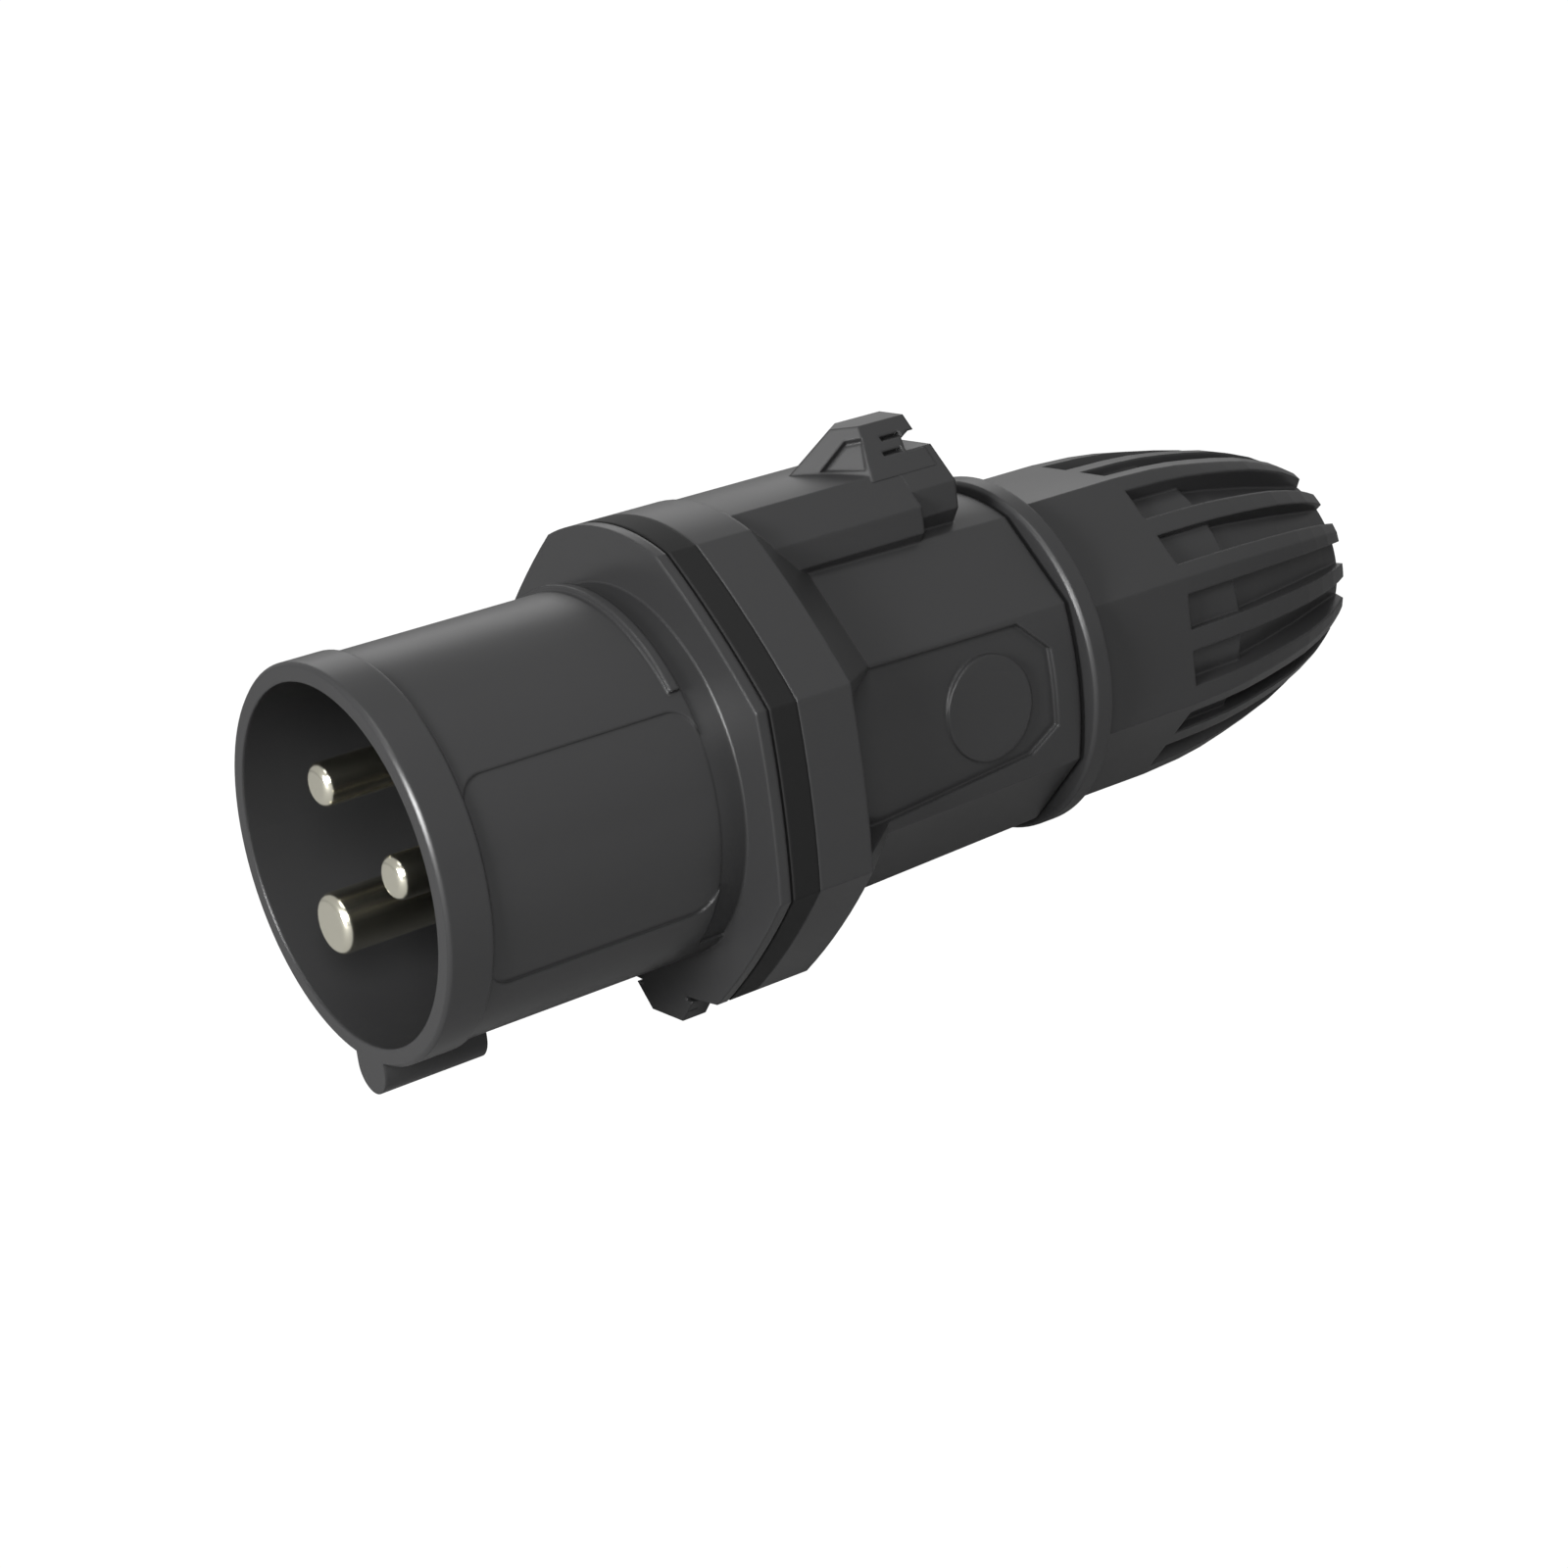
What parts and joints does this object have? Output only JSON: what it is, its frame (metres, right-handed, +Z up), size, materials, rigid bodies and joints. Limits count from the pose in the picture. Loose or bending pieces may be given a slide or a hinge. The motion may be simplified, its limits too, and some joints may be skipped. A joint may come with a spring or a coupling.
{
  "type": "industrial plug",
  "caption": "Black industrial pin-and-sleeve plug: round keyed shroud over round contact pins, eight-sided flange and grip with lid catch, ribbed bell-shaped cable gland nut",
  "frame": {"origin": "centre of the shroud's mouth rim, on the plug axis", "axes": "+Y runs along the plug axis from the mouth rim to the cable end, +Z is up with the key and the lug below and the lid catch on top, +X is to the right when looking into the mouth"},
  "size_m": [0.0532, 0.1393, 0.0619],
  "materials": {
    "shroud_plastic": "satin black moulded thermoplastic",
    "housing_plastic": "satin black moulded thermoplastic",
    "nut_plastic": "satin black moulded thermoplastic",
    "band_rubber": "matte black soft sealing rubber",
    "seal_rubber": "matte black rubber",
    "carrier_plastic": "dark grey insulating moulding",
    "clamp_plastic": "dark grey nylon",
    "pin_brass": "turned brass with thin nickel flash",
    "insert_brass": "turned brass",
    "plated_steel": "zinc-plated steel"
  },
  "bodies": {
    "plug_body": {"front_shroud": "shroud_plastic", "flange_gasket": "band_rubber", "handle_housing": "housing_plastic", "contact_carrier": "carrier_plastic", "retainer_plate": "carrier_plastic", "plate_screws": "plated_steel", "housing_screws": "plated_steel", "boss_inserts": "insert_brass", "earth_pin": "pin_brass", "line_pin_1": "pin_brass", "line_pin_2": "pin_brass", "earth_terminal_screw": "plated_steel", "line_terminal_screws": "plated_steel", "cable_seal": "seal_rubber", "seal_core": "seal_rubber", "clamp_basket": "clamp_plastic"},
    "thrust_ring": {"thrust_ring": "clamp_plastic"},
    "gland_nut": {"gland_nut": "nut_plastic"}
  },
  "joints": [
    {"name": "nut_advance", "type": "slide", "parent": "plug_body", "child": "thrust_ring", "axis": [0, 1, 0], "range_m": [0, 0.006]},
    {"name": "nut_turn", "type": "hinge", "parent": "thrust_ring", "child": "gland_nut", "pos_m": [0, 0.1, 0], "axis": [0, 1, 0], "range_deg": [0, 720]}
  ],
  "couplings": [
    {"joint": "nut_advance", "follows": "nut_turn", "m_per_rad": 0.0004774}
  ]
}
